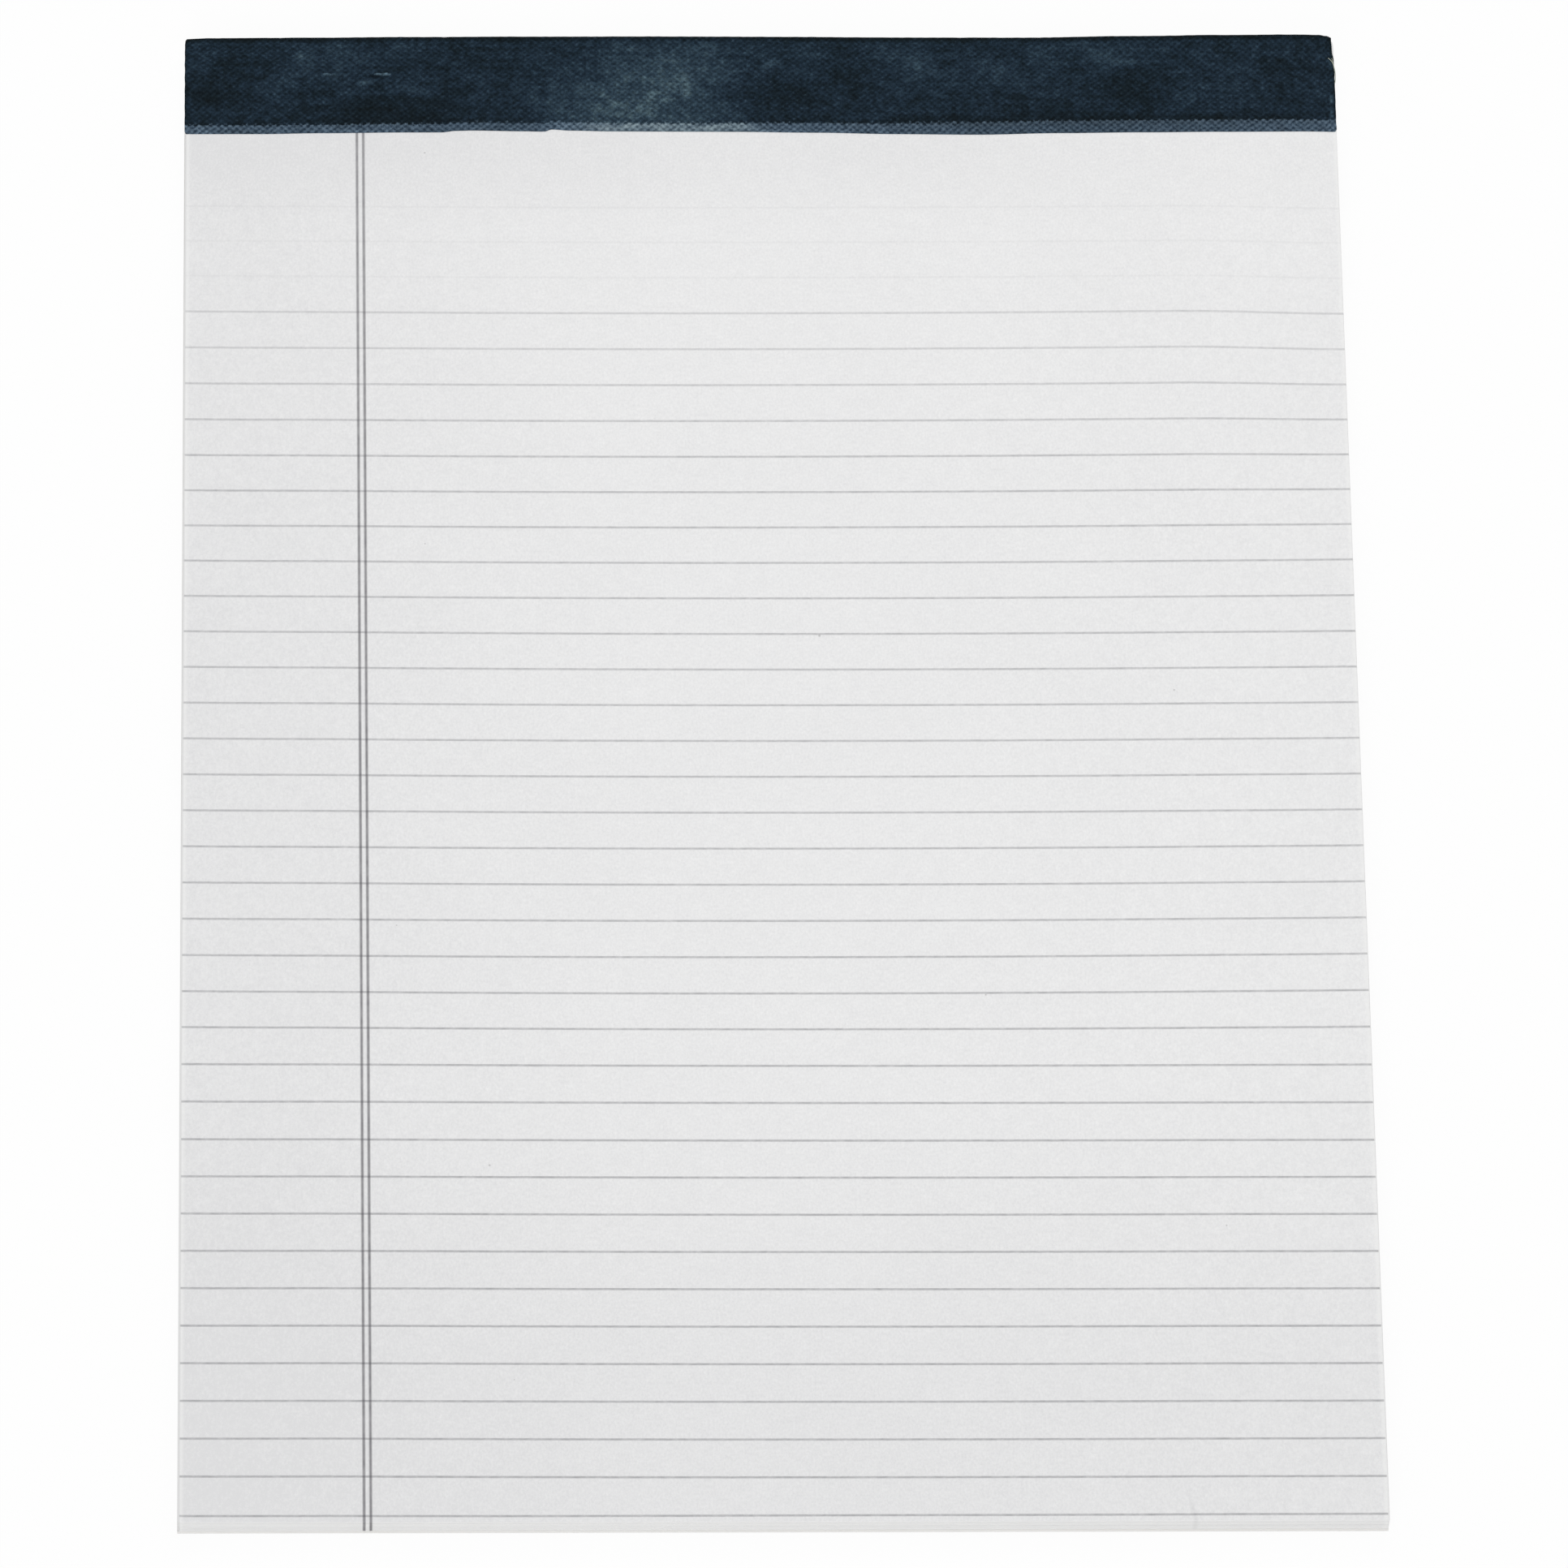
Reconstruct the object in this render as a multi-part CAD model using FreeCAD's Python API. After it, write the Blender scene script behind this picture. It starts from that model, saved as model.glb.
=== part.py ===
import FreeCAD, Part
import math
import os

os.makedirs("parts", exist_ok=True)

# Pad sizes in millimetres
pad_width = 215.9
pad_length = 298.45
head_right_radius = 2.0

# Paper and board
sheet_count = 50
sheet_thickness = 0.085
board_thickness = 1.0

# Binding tape
tape_thickness = 0.25
tape_front_width = 20.0
tape_back_width = 22.0
tape_bite = 0.05
fold_radius = 0.7
lip_width = 1.6
lip_root_thickness = 0.17
lip_edge_thickness = 0.12
lip_step_run = 0.1

# Staples
crown_width = 13.0
wire_width = 0.6
wire_thickness = 0.4
bend_radius = 0.3
clinch_length = 5.0
staple_from_head = 8.4
staple_from_side = 32.4
wire_clearance = 0.05
crown_proud_left = 0.2
crown_proud_other = 0.08
emboss_base_margin = 0.9
emboss_top_margin = 0.25

# Levels and lines that follow from the sizes
side_x = pad_width / 2
head_y = pad_length / 2
foot_y = -head_y
stack_head_y = head_y - tape_thickness
front_edge_y = head_y - tape_front_width
lip_y = front_edge_y + lip_width
back_edge_y = head_y - tape_back_width
sheets_top_z = board_thickness + sheet_count * sheet_thickness
seat_z = sheets_top_z - tape_bite
tape_top_z = seat_z + tape_thickness
stack_radius = fold_radius - tape_thickness
staple_y = head_y - staple_from_head
staple_x = side_x - staple_from_side


def fromYz(point):
    return FreeCAD.Vector(-side_x, point[0], point[1])


def quarterMid(start, end, centre):
    radius = math.hypot(start[0] - centre[0], start[1] - centre[1])
    across = (start[0] + end[0]) / 2 - centre[0]
    up = (start[1] + end[1]) / 2 - centre[1]
    reach = math.hypot(across, up)
    return (centre[0] + across * radius / reach, centre[1] + up * radius / reach)


def profile(start, steps, place):
    """Closed face from points; a step with a centre is a quarter arc."""
    edges = []
    here = start
    for target, centre in steps:
        if centre is None:
            edges.append(Part.makeLine(place(here), place(target)))
        else:
            middle = quarterMid(here, target, centre)
            arc = Part.Arc(place(here), place(middle), place(target))
            edges.append(arc.toShape())
        here = target
    edges.append(Part.makeLine(place(here), place(start)))
    return Part.Face(Part.Wire(edges))


def acrossPad(start, steps):
    return profile(start, steps, fromYz).extrude(FreeCAD.Vector(pad_width, 0, 0))


# Plan outline with one worn head corner
def fromXy(point):
    return FreeCAD.Vector(point[0], point[1], -1)


corner_x = side_x - head_right_radius
corner_y = head_y - head_right_radius
outline_face = profile(
    (-side_x, foot_y),
    [
        ((side_x, foot_y), None),
        ((side_x, corner_y), None),
        ((corner_x, head_y), (corner_x, corner_y)),
        ((-side_x, head_y), None),
    ],
    fromXy,
)
outline = outline_face.extrude(FreeCAD.Vector(0, 0, tape_top_z + 3))

# Stack of ruled sheets as one solid, pressed in under the tape
round_y = stack_head_y - stack_radius
ruled_sheets = acrossPad(
    (foot_y, board_thickness),
    [
        ((stack_head_y, board_thickness), None),
        ((stack_head_y, seat_z - stack_radius), None),
        ((round_y, seat_z), (round_y, seat_z - stack_radius)),
        ((front_edge_y, seat_z), None),
        ((front_edge_y, sheets_top_z), None),
        ((foot_y, sheets_top_z), None),
    ],
)

# Chipboard back, recessed so that the tape lies flush with it
backing_board = acrossPad(
    (foot_y, 0),
    [
        ((back_edge_y, 0), None),
        ((back_edge_y, tape_thickness), None),
        ((round_y, tape_thickness), None),
        ((stack_head_y, tape_thickness + stack_radius), (round_y, tape_thickness + stack_radius)),
        ((stack_head_y, board_thickness), None),
        ((foot_y, board_thickness), None),
    ],
)

# Tape folded over the head, with its front edge pressed into a lip
bend_y = head_y - fold_radius
binding_tape = acrossPad(
    (front_edge_y, seat_z),
    [
        ((front_edge_y, seat_z + lip_edge_thickness), None),
        ((lip_y, seat_z + lip_root_thickness), None),
        ((lip_y + lip_step_run, tape_top_z), None),
        ((bend_y, tape_top_z), None),
        ((head_y, tape_top_z - fold_radius), (bend_y, tape_top_z - fold_radius)),
        ((head_y, fold_radius), None),
        ((bend_y, 0), (bend_y, fold_radius)),
        ((back_edge_y, 0), None),
        ((back_edge_y, tape_thickness), None),
        ((round_y, tape_thickness), None),
        ((stack_head_y, tape_thickness + stack_radius), (round_y, tape_thickness + stack_radius)),
        ((stack_head_y, seat_z - stack_radius), None),
        ((round_y, seat_z), (round_y, seat_z - stack_radius)),
    ],
)


# Staples: crown on the sheets, legs clinched under the board
def roundedSlab(x0, x1, z0, z1, radius, half_depth):
    def place(point):
        return FreeCAD.Vector(point[0], staple_y - half_depth, point[1])

    face = profile(
        (x0, z0 + radius),
        [
            ((x0 + radius, z0), (x0 + radius, z0 + radius)),
            ((x1 - radius, z0), None),
            ((x1, z0 + radius), (x1 - radius, z0 + radius)),
            ((x1, z1 - radius), None),
            ((x1 - radius, z1), (x1 - radius, z1 - radius)),
            ((x0 + radius, z1), None),
            ((x0, z1 - radius), (x0 + radius, z1 - radius)),
        ],
        place,
    )
    return face.extrude(FreeCAD.Vector(0, 2 * half_depth, 0))


def staple(x, proud, gap):
    half_crown = crown_width / 2
    crown_z = seat_z + proud
    depth = wire_width / 2 + gap
    outer_half = half_crown + gap
    inner_half = half_crown - wire_thickness - gap
    tip_half = half_crown - clinch_length - gap
    outer_radius = bend_radius + wire_thickness
    outer = roundedSlab(x - outer_half, x + outer_half, tape_thickness, crown_z, outer_radius, depth)
    inner = roundedSlab(
        x - inner_half,
        x + inner_half,
        tape_thickness + wire_thickness,
        crown_z - wire_thickness,
        bend_radius + gap,
        depth,
    )
    tip_gap = Part.makeBox(2 * tip_half, 2 * depth, wire_thickness)
    tip_gap.translate(FreeCAD.Vector(x - tip_half, staple_y - depth, tape_thickness))
    return outer.cut(inner).cut(tip_gap)


# Raised print of a crown through the tape
def emboss(x, proud):
    rings = []
    for margin, z in ((emboss_base_margin, tape_top_z - tape_thickness / 2), (emboss_top_margin, tape_top_z + proud)):
        half_x = crown_width / 2 + margin
        half_y = wire_width / 2 + margin
        corners = [(-half_x, -half_y), (half_x, -half_y), (half_x, half_y), (-half_x, half_y)]
        points = [FreeCAD.Vector(x + dx, staple_y + dy, z) for dx, dy in corners]
        rings.append(Part.makePolygon(points + points[:1]))
    return Part.makeLoft(rings, True, True)


staples = {
    "staple_left": (-staple_x, crown_proud_left),
    "staple_middle": (0, crown_proud_other),
    "staple_right": (staple_x, crown_proud_other),
}

nodes = {}
for name, (x, proud) in staples.items():
    nodes[name] = staple(x, proud, 0)
    room = staple(x, proud, wire_clearance)
    ruled_sheets = ruled_sheets.cut(room)
    backing_board = backing_board.cut(room)
    binding_tape = binding_tape.fuse(emboss(x, proud)).cut(room)

nodes["ruled_sheets"] = ruled_sheets.common(outline)
nodes["backing_board"] = backing_board.common(outline)
nodes["binding_tape"] = binding_tape.common(outline)

for name, shape in nodes.items():
    solid = shape.removeSplitter().Solids[0]
    solid.exportStep("parts/" + name + ".step")
    box = solid.BoundBox
    print(name, len(shape.Solids), solid.isValid(), round(solid.Volume, 1), [round(v, 3) for v in (
        box.XMin, box.XMax, box.YMin, box.YMax, box.ZMin, box.ZMax)])
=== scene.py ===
import math

import bpy
import bmesh
import numpy as np
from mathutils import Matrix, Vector, noise


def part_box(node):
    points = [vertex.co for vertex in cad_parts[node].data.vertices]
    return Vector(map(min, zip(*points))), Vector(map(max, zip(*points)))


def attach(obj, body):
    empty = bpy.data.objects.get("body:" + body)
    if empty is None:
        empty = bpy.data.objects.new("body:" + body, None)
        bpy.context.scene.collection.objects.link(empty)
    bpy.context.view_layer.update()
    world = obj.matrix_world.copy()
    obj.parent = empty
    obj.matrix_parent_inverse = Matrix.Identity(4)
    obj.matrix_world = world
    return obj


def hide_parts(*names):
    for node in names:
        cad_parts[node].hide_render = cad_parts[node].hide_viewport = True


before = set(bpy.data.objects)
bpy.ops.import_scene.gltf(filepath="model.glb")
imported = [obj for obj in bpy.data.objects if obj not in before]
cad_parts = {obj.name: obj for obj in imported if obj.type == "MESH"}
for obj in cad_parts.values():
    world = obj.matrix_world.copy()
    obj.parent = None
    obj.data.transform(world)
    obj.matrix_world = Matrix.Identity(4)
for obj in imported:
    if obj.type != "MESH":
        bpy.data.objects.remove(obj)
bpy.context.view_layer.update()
mm = 0.001
print("frame loaded, nodes:", sorted(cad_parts))

# places that every piece shares, all read from the frame
sheetLow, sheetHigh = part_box("ruled_sheets")
tapeLow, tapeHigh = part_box("binding_tape")
stapleNames = ["staple_left", "staple_middle", "staple_right"]
stapleBoxes = [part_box(name) for name in stapleNames]
halfWidth = sheetHigh.x
footY = sheetLow.y
headY = tapeHigh.y
stackHeadY = sheetHigh.y
pageZ = sheetHigh.z
tapeThick = headY - stackHeadY
cornerRadius = 2.0 * mm  # the worn head corner on the right
cornerX = halfWidth - cornerRadius
cornerY = headY - cornerRadius


# one wrapper for shader and geometry trees: an expression adds Math nodes
class Wire:
    def __init__(self, graph, socket):
        self.graph = graph
        self.socket = socket

    def maths(self, operation, *values):
        return self.graph.maths(operation, self, *values)

    def __add__(self, other):
        return self.maths("ADD", other)

    def __radd__(self, other):
        return self.graph.maths("ADD", other, self)

    def __sub__(self, other):
        return self.maths("SUBTRACT", other)

    def __rsub__(self, other):
        return self.graph.maths("SUBTRACT", other, self)

    def __mul__(self, other):
        return self.maths("MULTIPLY", other)

    def __rmul__(self, other):
        return self.graph.maths("MULTIPLY", other, self)

    def __truediv__(self, other):
        return self.maths("DIVIDE", other)

    def __pow__(self, other):
        return self.maths("POWER", other)

    def __neg__(self):
        return self.maths("MULTIPLY", -1)

    def __abs__(self):
        return self.maths("ABSOLUTE")

    def sine(self):
        return self.maths("SINE")


class Graph:
    def __init__(self, tree):
        self.tree = tree

    def node(self, kind, settings=None, values=None):
        made = self.tree.nodes.new(kind)
        for name, value in (settings or {}).items():
            if name == "stops":
                ramp = made.color_ramp
                while len(ramp.elements) < len(value):
                    ramp.elements.new(1)
                for element, (at, colour) in zip(ramp.elements, value):
                    element.position = at
                    element.color = colour
            else:
                setattr(made, name, value)
        for key, value in (values or {}).items():
            if isinstance(value, Wire):
                self.tree.links.new(value.socket, made.inputs[key])
            else:
                made.inputs[key].default_value = value
        return made

    def out(self, made, key=0):
        return Wire(self, made.outputs[key])

    def maths(self, operation, *values):
        made = self.node("ShaderNodeMath", {"operation": operation}, dict(enumerate(values)))
        return self.out(made)

    def smooth(self, value, low, high):
        made = self.node(
            "ShaderNodeMapRange",
            {"interpolation_type": "SMOOTHSTEP"},
            {"Value": value, "From Min": low, "From Max": high, "To Min": 0.0, "To Max": 1.0},
        )
        return self.out(made)

    def blend(self, factor, first, second):
        made = self.node("ShaderNodeMix", {"data_type": "RGBA"}, {0: factor, 6: first, 7: second})
        return self.out(made, 2)

    def cloud(self, vector, scale, detail=3.0, roughness=0.5):
        made = self.node(
            "ShaderNodeTexNoise",
            {},
            {"Vector": vector, "Scale": scale, "Detail": detail, "Roughness": roughness},
        )
        return self.out(made)

    def place(self, vector, location=(0, 0, 0), turn=(0, 0, 0), scale=(1, 1, 1)):
        made = self.node(
            "ShaderNodeMapping", {}, {"Vector": vector, "Location": location, "Rotation": turn, "Scale": scale}
        )
        return self.out(made)

    def scaled(self, colour, amount):
        made = self.node("ShaderNodeVectorMath", {"operation": "SCALE"}, {0: colour, "Scale": amount})
        return self.out(made)

    def split(self, vector):
        made = self.node("ShaderNodeSeparateXYZ", {}, {0: vector})
        return [self.out(made, i) for i in range(3)]


def ink(red, green, blue):
    # a colour as it is seen, 0 to 255, turned into Blender's linear values
    parts = []
    for value in (red, green, blue):
        share = value / 255
        parts.append(share / 12.92 if share <= 0.04045 else ((share + 0.055) / 1.055) ** 2.4)
    return (*parts, 1.0)


def newMaterial(name, roughness):
    material = bpy.data.materials.new(name)
    material.use_nodes = True
    graph = Graph(material.node_tree)
    shader = material.node_tree.nodes["Principled BSDF"]
    shader.inputs["Roughness"].default_value = roughness
    return material, graph, shader


def plug(graph, shader, name, wire):
    graph.tree.links.new(wire.socket, shader.inputs[name])


def bumpInto(graph, shader, height, strength, distance):
    made = graph.node("ShaderNodeBump", {}, {"Height": height, "Strength": strength, "Distance": distance})
    plug(graph, shader, "Normal", graph.out(made))


def addObject(name, mesh):
    made = bpy.data.objects.new(name, mesh)
    bpy.context.scene.collection.objects.link(made)
    return made


# paper
# lengths are in mm; side is -1 and 1 at the pad's two sides, row counts the ruled lines from 0, down starts at the head
ruling = {
    "lines": 34,
    "ghostLines": 3,  # faint ones above the first
    "pitch": 7.226,
    "firstLine": 58.6,
    "halfThick": 0.11,
    "soft": 0.19,
    "sideStop": 107.5,  # from the middle
    "marginAt": 32.12,  # from the left edge, at the head
    "marginLean": 0.0037,
    "marginGap": 1.19,
    "marginThick": 0.07,
    "marginSoft": 0.34,
    # the sheet is not quite flat, so the lines drift, sag and lean a little: a start value,
    # then each amount with what eases it in
    "drift": (-0.62, [(1.08, ("row", -3.0, 5.0)), (-0.3, ("row", 8.0, 21.0)),
                      (0.95, ("side", 0.70, 1.04), ("row", 7.0, 0.0)), (0.15, ("side", -0.70, -1.0)),
                      (0.08, ("side", 0.70, 1.0)), (-0.20, ("row", 18.6, 20.4), ("row", 23.2, 21.4)),
                      (0.30, ("row", 31.9, 33.0), ("side", 0.25, -0.8))]),
    "sag": (0.62, [(-0.37, ("row", 19.0, 22.0))]),
    "lean": (-0.34, [(0.30, ("row", 3.0, 10.0)), (0.25, ("row", 18.0, 22.0))]),
    # strength of the ink
    "depth": (0.285, [(0.15, ("row", 0.0, 5.0)), (0.09, ("row", 10.0, 26.0))]),
    "ghostDepth": 0.055,
    "marginDepth": (0.52, [(0.06, ("down", 40.0, 120.0))]),
    # tone of the paper, with painted shade: darker at the foot and at the left where less light falls, and darker just
    # below the tape
    "tone": (-0.36, [(-0.26, ("down", 200.0, 285.0)), (-0.26, ("side", -0.1, -1.0)), (-0.08, ("down", 44.0, 20.0)),
                     (-0.17, ("side", 0.9, 0.1), ("down", 44.0, 20.0))]),
    "paper": (242, 242, 242),
    "paperShade": (221, 221, 222),
    "edgeHighlight": (240, 240, 239),
    "edgeHighlightFrom": (106.6, 107.3),
    # cut edges painted paler, as painted light
    "litCutEdge": (234, 234, 233),
    "leftEdgeShade": (208, 208, 208),
    "leftEdgeShadeFrom": (-107.35, -107.6),
    "lineInk": (128, 128, 132),
    "marginInk": (84, 82, 88),
    # x and y from the middle, and how wide
    "specks": [(-63.1, 124.3, 0.28), (-63.3, 43.4, 0.22), (9.0, 24.8, 0.42), (73.9, 13.8, 0.28),
               (-68.7, -33.3, 0.2), (38.0, -47.1, 0.26), (-52.1, -80.5, 0.34), (80.4, -92.4, 0.24),
               (-47.9, -122.0, 0.16)],
    "speckInk": (128, 126, 124),
    "creaseAt": 73.3,
    "creaseLean": 0.22,
    "creaseShadeColour": (120, 120, 124),
}


def makePaper():
    material, graph, shader = newMaterial("ruled paper", 0.78)
    shader.inputs["Specular IOR Level"].default_value = 0.2
    spot = graph.out(graph.node("ShaderNodeTexCoord"), "Object")
    x, y = graph.split(spot)[:2]
    x = x * 1000.0
    down = (headY - y) * 1000.0
    side = x / (halfWidth * 1000)
    over = {"row": (down - ruling["firstLine"]) / ruling["pitch"], "side": side, "down": down}

    def eased(name):
        total, terms = ruling[name]
        for amount, *factors in terms:
            for place, low, high in factors:
                amount = amount * graph.smooth(over[place], low, high)
            total = total + amount
        return total

    shifted = down - eased("drift") + eased("sag") * side * side - eased("lean") * side
    row = (shifted - ruling["firstLine"]) / ruling["pitch"]
    over["row"] = row
    away = abs(row - row.maths("ROUND")) * ruling["pitch"]
    line = 1 - graph.smooth(away, ruling["halfThick"], ruling["halfThick"] + ruling["soft"])
    within = 1 - graph.smooth(abs(x), ruling["sideStop"], ruling["sideStop"] + 0.2)
    printed = row.maths("GREATER_THAN", -0.5) * row.maths("LESS_THAN", ruling["lines"] - 0.5)
    ghost = row.maths("GREATER_THAN", -0.5 - ruling["ghostLines"]) * row.maths("LESS_THAN", -0.5)
    grain = graph.cloud(graph.place(spot, scale=(1, 3, 1)), 640.0, 3.0, 0.6)
    depth = eased("depth") * (0.36 + 1.28 * grain)
    # ink shows on the cut edges too, more faintly for the rules
    normal = graph.split(graph.out(graph.node("ShaderNodeNewGeometry"), "True Normal"))
    wall = graph.smooth(abs(normal[2]), 0.7, 0.3)
    rules = line * within * (printed * depth + ghost * ruling["ghostDepth"]) * (1 - 0.65 * wall)
    # double margin line
    start = ruling["marginAt"] - halfWidth * 1000 + ruling["marginLean"] * down
    nearer = abs(x - start).maths("MINIMUM", abs(x - start - ruling["marginGap"]))
    margin = 1 - graph.smooth(nearer, ruling["marginThick"], ruling["marginThick"] + ruling["marginSoft"])
    margin = margin * (eased("marginDepth") + 0.30 * graph.cloud(spot, 500.0, 2.0))
    # paper: soft clouds, fine fibres and pulp, with the painted shade of the tone table, and a painted highlight along
    # its sides
    clouds = graph.cloud(spot, 38.0, 4.0, 0.6)
    fibres = graph.cloud(graph.place(spot, scale=(1, 0.7, 1)), 2300.0, 3.0, 0.7)
    pulp = graph.cloud(graph.place(spot, location=(0.3, 0.1, 0)), 420.0, 2.0, 0.5)
    tone = eased("tone") + 0.20 * clouds + 1.35 * fibres + 0.30 * pulp
    colour = graph.blend(tone, ink(*ruling["paperShade"]), ink(*ruling["paper"]))
    # painted highlight: the sheet's side edges are painted paler
    colour = graph.blend(0.5 * graph.smooth(abs(x), *ruling["edgeHighlightFrom"]), colour, ink(*ruling["edgeHighlight"]))
    # painted light: the cut edges are painted paler, standing in for the light on them
    colour = graph.blend(0.8 * wall, colour, ink(*ruling["litCutEdge"]))
    colour = graph.blend(rules, colour, ink(*ruling["lineInk"]))
    colour = graph.blend(margin, colour, ink(*ruling["marginInk"]))
    # sparse specks, and the painted shade of one soft crease at the foot
    speck = 0.0
    for speckX, speckY, size in ruling["specks"]:
        reach = ((x - speckX) ** 2 + (y * 1000.0 - speckY) ** 2) ** 0.5
        speck = speck + graph.smooth(reach, 0.5 * size + 0.12, 0.5 * size - 0.08)
    colour = graph.blend(0.42 * speck * (1 - wall), colour, ink(*ruling["speckInk"]))
    up = (y - footY) * 1000.0
    creaseShade = 1 - graph.smooth(abs(x - ruling["creaseAt"] + ruling["creaseLean"] * up), 0.0, 0.7)
    creaseShade = creaseShade * (0.3 * graph.smooth(up, 10.0, 6.0) + 0.7 * graph.smooth(up, 4.0, 2.5))
    colour = graph.blend(0.10 * creaseShade, colour, ink(*ruling["creaseShadeColour"]))
    # painted shade: a dark line along the pad's left edge, between the sheets' edges
    colour = graph.blend(0.5 * graph.smooth(x, *ruling["leftEdgeShadeFrom"]), colour, ink(*ruling["leftEdgeShade"]))
    plug(graph, shader, "Base Color", colour)
    plug(graph, shader, "Roughness", 0.72 + 0.12 * fibres)
    bumpInto(graph, shader, 0.6 * fibres + 0.4 * clouds, 0.12, 0.00006)
    return material


paper = makePaper()
print("paper material made")

# head edge: not quite straight
# mm that the top of the head face leans out, or in where negative, at mm from the middle
headLean = [(-108, -0.9), (-103, -0.68), (-97, -0.63), (-82, -0.5), (-66, -0.33), (-44, -0.2), (-20, -0.1),
            (5, -0.13), (25, -0.22), (48, -0.2), (71, 0.22), (86, 0.48), (101, 0.6), (105, 0.52), (106.3, 0.3),
            (107.2, 0.05)]


def smoothstep(value, low, high):
    share = min(max((value - low) / (high - low), 0), 1)
    return share * share * (3 - 2 * share)


def alongPad(points, x):
    # a value that is given at places along the pad, eased between them
    for (x0, v0), (x1, v1) in zip(points, points[1:]):
        if x <= x1 * mm:
            return v0 + (v1 - v0) * smoothstep(x, x0 * mm, x1 * mm)
    return points[-1][1]


def leanAt(x, y, z):
    forward = smoothstep(y, headY - 7.5 * mm, headY - 0.8 * mm)
    return alongPad(headLean, x) * mm * forward * smoothstep(z, 0.9 * mm, 4.6 * mm)


# sheets: one leaf, stacked by geometry nodes
stack = {
    "count": 50,
    "airGap": 0.003,  # mm between leaves
    "trimLeft": (0.28, 0.13),  # mm that a leaf is short of the block, at the head and at the foot
    "trimRight": (0.42, 0.13),
    "trimAlong": 0.06,  # and at its two ends
    "jogAcross": 0.09,
    "jogAlong": 0.02,
    "twist": 0.0002,
    "curl": 0.22,  # mm that the top sheet's side edges rise
    "ripple": 0.06,
    "freeFrom": 60,  # mm below the head: the sheets curl freely past here
    "heldTo": 21,  # and lie flat above here
    "seed": 11,
}


def stations(low, high, bend, count, fine):
    # even steps up to the bend, then closer ones round the corner
    even = list(np.linspace(low, bend, count))
    return even + [bend + (high - bend) * math.sin(math.pi / 2 * (i + 1) / fine) for i in range(fine)]


def rounded(x, y, middleX, middleY, radius):
    # keeps a point inside the rounded head corner
    if x <= middleX or y <= middleY:
        return x, y
    reach = math.hypot(x - middleX, y - middleY)
    if reach <= radius:
        return x, y
    return middleX + (x - middleX) * radius / reach, middleY + (y - middleY) * radius / reach


def drawLeaf(thick):
    reach = cornerRadius - tapeThick
    headEnd = stackHeadY - stack["trimAlong"] * mm
    ys = stations(footY + stack["trimAlong"] * mm, headEnd, headEnd - reach, 21, 5)
    leaf = bmesh.new()
    layers = []
    for z in (-thick / 2, thick / 2):
        grid = []
        for y in ys:
            share = (y - footY) / (stackHeadY - footY)  # 0 at the foot, 1 at the head
            low = -halfWidth + (stack["trimLeft"][1] + (stack["trimLeft"][0] - stack["trimLeft"][1]) * share) * mm
            high = halfWidth - (stack["trimRight"][1] + (stack["trimRight"][0] - stack["trimRight"][1]) * share) * mm
            cornerAt = halfWidth - stack["trimRight"][0] * mm - reach
            xs = stations(low, high, cornerAt, 15, 5)
            spots = [rounded(x, y, cornerAt, headEnd - reach, reach) for x in xs]
            grid.append([leaf.verts.new((px, py, z)) for px, py in spots])
        layers.append([list(column) for column in zip(*grid)])
    under, over = layers
    lastX, lastY = len(over) - 1, len(over[0]) - 1
    for i in range(lastX):
        for j in range(lastY):
            leaf.faces.new((over[i][j], over[i + 1][j], over[i + 1][j + 1], over[i][j + 1]))
            leaf.faces.new((under[i][j], under[i][j + 1], under[i + 1][j + 1], under[i + 1][j]))
    rim = [(i, 0) for i in range(lastX)] + [(lastX, j) for j in range(lastY)]
    rim += [(i, lastY) for i in range(lastX, 0, -1)] + [(0, j) for j in range(lastY, 0, -1)]
    for (a, b), (c, d) in zip(rim, rim[1:] + rim[:1]):
        leaf.faces.new((under[a][b], under[c][d], over[c][d], over[a][b]))
    mesh = bpy.data.meshes.new("leaf")
    leaf.to_mesh(mesh)
    leaf.free()
    return mesh


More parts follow.
